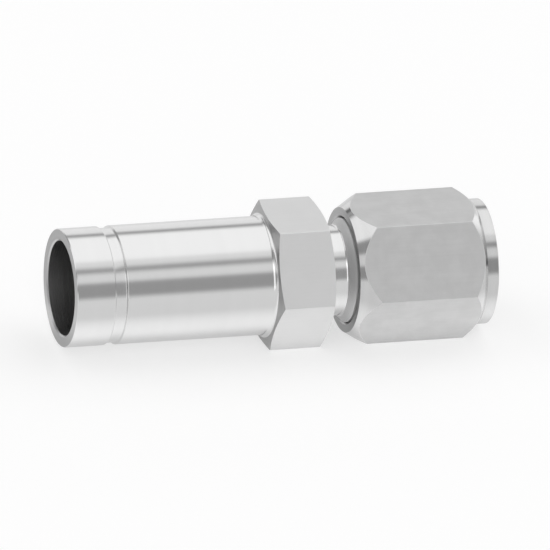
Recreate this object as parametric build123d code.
from build123d import *
import os
from math import radians, sqrt, tan

# A flareless tube union, as it lies on a bench with its nut finger tight.
# Its axis is level and runs along X: the plain stub points to -X, and the tube goes in from +X.
# It rests on one flat of each hexagon, and the origin is on the bench under the middle of its length.
# Three pieces are made: the fitting body, the ferrule inside the nut, and the tube nut.
# Body and nut are each turned from a hexagonal bar, so each is one turned outline cut from one bar.
# Sizes are in millimetres and degrees. Every outline is a half-section, written as (x, radius).

# The tube sets the inside: its own way in, the 24 degree seat, the socket that stops it, the flow bore.
tube_diameter = 9.525
tube_clearance = 0.07
seat_half_angle = 12.0
seat_depth = 4.9
socket_depth = 2.5
flow_bore_diameter = 7.5

# The thread between body and nut is drawn as plain cylinders, the body's at the thread's crests.
thread_over_tube = 4.7625
thread_pitch = 25.4 / 18
thread_depth_share = 0.6134
thread_crest_cut = 0.18
thread_clearance = 0.1
thread_length = 11.56
thread_start_angle = 45.0
thread_end_angle = 30.0
thread_end_wall = 0.3

# The plain stub takes the place of a tube's end in another fitting.
stub_diameter = 15.875
stub_length = 27.82
stub_wall = 1.5875
stub_bore_depth = 24.0
drill_half_angle = 59.0
stub_fillet = 0.65
groove_from_end = 5.3
groove_width = 1.75
groove_depth = 0.28
groove_wall_angle = 60.0

# Both hexagons take one spanner, so their flats lie in one plane. They stand out past thread and stub.
hex_stand_out = 2.38125
hex_face_inset = 0.37
hex_width = 7.89
hex_chamfer_angle = 16.0
blank_margin = 0.5

# The neck between the body's hexagon and its thread.
neck_below_root = 0.28
neck_length = 2.4
neck_fillet = 0.25

# The ferrule is one sleeve: tapered nose with a cutting lip, thin waist, shoulder, back taper.
nose_wall = 0.52
nose_length = 1.9
waist_length = 2.7
shoulder_wall = 1.5
shoulder_length = 2.4
back_wall = 0.45
lip_length = 0.7
chip_groove_length = 1.8
chip_groove_depth = 0.2
seat_gap = 0.2

# The nut.
finger_tight_gap = 3.43
nut_front_angle = 33.0
nut_back_angle = 43.0
nut_mouth_depth = 0.24
collar_length = 1.53
guide_length = 1.7
chamber_clearance = 0.15
pull_up_room = 2.8
relief_width = 1.4
relief_depth = 0.2

# Small edges.
edge_break = 0.1
bore_chamfer = 0.2
tube_hole_chamfer = 0.4

# Radii that follow from those sizes.
tube_way_radius = tube_diameter / 2 + tube_clearance
seat_slope = tan(radians(seat_half_angle))
seat_mouth_radius = tube_way_radius + seat_depth * seat_slope
thread_radius = (tube_diameter + thread_over_tube) / 2
crest_radius = thread_radius - thread_crest_cut
nut_bore_radius = crest_radius + thread_clearance
neck_radius = thread_radius - thread_depth_share * thread_pitch - neck_below_root
stub_radius = stub_diameter / 2
hex_across_flats = thread_radius + stub_radius + hex_stand_out
hex_corner_radius = hex_across_flats / sqrt(3)
hex_face_radius = hex_across_flats / 2 - hex_face_inset
blank_radius = hex_corner_radius + blank_margin
blank_overhang = blank_radius - hex_face_radius
ferrule_shoulder_radius = tube_way_radius + shoulder_wall
ferrule_back_radius = tube_way_radius + back_wall
ferrule_waist_radius = tube_way_radius + nose_wall + nose_length * seat_slope
chamber_radius = ferrule_shoulder_radius + chamber_clearance

# Stations along the axis, from the stub's end face.
hex_start = stub_length
hex_end = hex_start + hex_width
neck_end = hex_end + neck_length
body_end = neck_end + thread_length
seat_bottom = body_end - seat_depth
tube_stop = seat_bottom - socket_depth
ferrule_front = seat_bottom + nose_wall / seat_slope + seat_gap
nose_end = ferrule_front + nose_length
waist_end = nose_end + waist_length
shoulder_start = waist_end + ferrule_shoulder_radius - ferrule_waist_radius
shoulder_end = shoulder_start + shoulder_length
ferrule_back = shoulder_end + ferrule_shoulder_radius - ferrule_back_radius
nut_face = hex_end + finger_tight_gap
relief_end = body_end + pull_up_room
nut_seat_start = shoulder_end + seat_gap - chamber_clearance
nut_seat_end = nut_seat_start + chamber_radius - tube_way_radius
nut_end = nut_seat_end + guide_length
collar_start = nut_end - collar_length


def rise(angle, radial):
    """Length over which a cone at this angle to the axis gains this much radius."""
    return radial / tan(radians(angle))


def half_section(*corners):
    """Closed half-section through these corners, in the plane of the axis."""
    return make_face(Polyline(*[(x, 0, radius) for x, radius in corners], close=True))


def rounded(section, corner, radius):
    """The half-section with the corner nearest to this place rounded."""
    x, height = corner
    nearest = section.vertices().sort_by_distance((x, 0, height))[0]
    return fillet(nearest, radius)


def turned(section):
    """The solid that a half-section makes when it is turned about the axis."""
    return revolve(section, Axis.X)


def hexagonal_bar(start, end):
    """Hexagonal bar along the axis, with one flat facing down."""
    outline = RegularPolygon(hex_across_flats / 2, side_count=6, major_radius=False)
    return extrude(Plane.YZ.offset(start) * outline, end - start)


def body_outline():
    """Outside of the body: grooved stub, chamfered hexagon blank, neck and thread."""
    hex_slope = tan(radians(hex_chamfer_angle))
    chamfer = blank_overhang * hex_slope
    stub_end = (hex_start - (hex_face_radius - stub_radius) * hex_slope, stub_radius)
    groove_radius = stub_radius - groove_depth
    groove_wall = rise(groove_wall_angle, groove_depth)
    groove_end = groove_from_end + groove_width
    neck_start = (hex_end, neck_radius)
    crest_start = neck_end + rise(thread_start_angle, crest_radius - neck_radius)
    end_radius = seat_mouth_radius + thread_end_wall
    section = half_section(
        (0, 0),
        (0, stub_radius - edge_break),
        (edge_break, stub_radius),
        (groove_from_end, stub_radius),
        (groove_from_end + groove_wall, groove_radius),
        (groove_end - groove_wall, groove_radius),
        (groove_end, stub_radius),
        stub_end,
        (hex_start + chamfer, blank_radius),
        (hex_end - chamfer, blank_radius),
        (hex_end, hex_face_radius),
        neck_start,
        (neck_end, neck_radius),
        (crest_start, crest_radius),
        (body_end - rise(thread_end_angle, crest_radius - end_radius), crest_radius),
        (body_end, end_radius),
        (body_end, 0),
    )
    section = rounded(section, stub_end, stub_fillet)
    return rounded(section, neck_start, neck_fillet)


def body_bore():
    """All that is bored out of the body: stub bore, flow bore, tube socket and seat."""
    stub_bore_radius = stub_radius - stub_wall
    flow_radius = flow_bore_diameter / 2
    return half_section(
        (0, 0),
        (0, stub_bore_radius + bore_chamfer),
        (bore_chamfer, stub_bore_radius),
        (stub_bore_depth, stub_bore_radius),
        (stub_bore_depth + rise(drill_half_angle, stub_bore_radius - flow_radius), flow_radius),
        (tube_stop, flow_radius),
        (tube_stop, tube_way_radius),
        (seat_bottom, tube_way_radius),
        (body_end, seat_mouth_radius),
        (body_end, 0),
    )


def ferrule_section():
    """Wall of the ferrule, front to back outside and back to front inside."""
    lip_end = ferrule_front + lip_length
    groove_end = lip_end + chip_groove_length
    groove_radius = tube_way_radius + chip_groove_depth
    return half_section(
        (ferrule_front, tube_way_radius),
        (ferrule_front, tube_way_radius + nose_wall),
        (nose_end, ferrule_waist_radius),
        (waist_end, ferrule_waist_radius),
        (shoulder_start, ferrule_shoulder_radius),
        (shoulder_end, ferrule_shoulder_radius),
        (ferrule_back, ferrule_back_radius),
        (ferrule_back, tube_way_radius + bore_chamfer),
        (ferrule_back - bore_chamfer, tube_way_radius),
        (groove_end, tube_way_radius),
        (groove_end - chip_groove_depth, groove_radius),
        (lip_end, groove_radius),
        (lip_end, tube_way_radius),
    )


def nut_outline():
    """Outside of the nut: long front chamfer, short back chamfer and round collar."""
    return half_section(
        (nut_face, 0),
        (nut_face, hex_face_radius),
        (nut_face + rise(nut_front_angle, blank_overhang), blank_radius),
        (collar_start - rise(nut_back_angle, blank_overhang), blank_radius),
        (collar_start, hex_face_radius),
        (nut_end - edge_break, hex_face_radius),
        (nut_end, hex_face_radius - edge_break),
        (nut_end, 0),
    )


def nut_bore():
    """All that is bored out of the nut: thread, relief, ferrule chamber, shoulder, tube hole."""
    relief_radius = nut_bore_radius + relief_depth
    return half_section(
        (nut_face, 0),
        (nut_face, nut_bore_radius + nut_mouth_depth),
        (nut_face + nut_mouth_depth, nut_bore_radius),
        (relief_end - relief_width, nut_bore_radius),
        (relief_end - relief_width, relief_radius),
        (relief_end, relief_radius),
        (relief_end, chamber_radius),
        (nut_seat_start, chamber_radius),
        (nut_seat_end, tube_way_radius),
        (nut_end - tube_hole_chamfer, tube_way_radius),
        (nut_end, tube_way_radius + tube_hole_chamfer),
        (nut_end, 0),
    )


def fitting_body():
    """The body, turned from one length of bar and bored from both ends."""
    return (hexagonal_bar(0, body_end) & turned(body_outline())) - turned(body_bore())


def ferrule():
    """The sleeve that bites into the tube, carried between the body's seat and the nut's shoulder."""
    return turned(ferrule_section())


def tube_nut():
    """The nut, which turns on the ferrule's back and presses it into the body's seat."""
    return (hexagonal_bar(nut_face, nut_end) & turned(nut_outline())) - turned(nut_bore())


on_the_bench = Pos(-nut_end / 2, 0, hex_across_flats / 2)
pieces = {
    "fitting_body": fitting_body(),
    "ferrule": ferrule(),
    "tube_nut": tube_nut(),
}

os.makedirs("parts", exist_ok=True)
for name, piece in pieces.items():
    export_step(on_the_bench * piece, f"parts/{name}.step")
    print(name, round(piece.volume, 1), "cubic mm")
print("overall length", round(nut_end, 3))
print("across flats", round(hex_across_flats, 4), "and across corners", round(2 * hex_corner_radius, 3))
print("stations", [round(s, 3) for s in (hex_end, neck_end, tube_stop, seat_bottom, body_end)])
print("ferrule", round(ferrule_front, 3), "to", round(ferrule_back, 3))
print("nut", [round(s, 3) for s in (nut_face, relief_end, nut_seat_start, nut_seat_end, collar_start)])
print("nut travel for each turn", round(thread_pitch, 4))
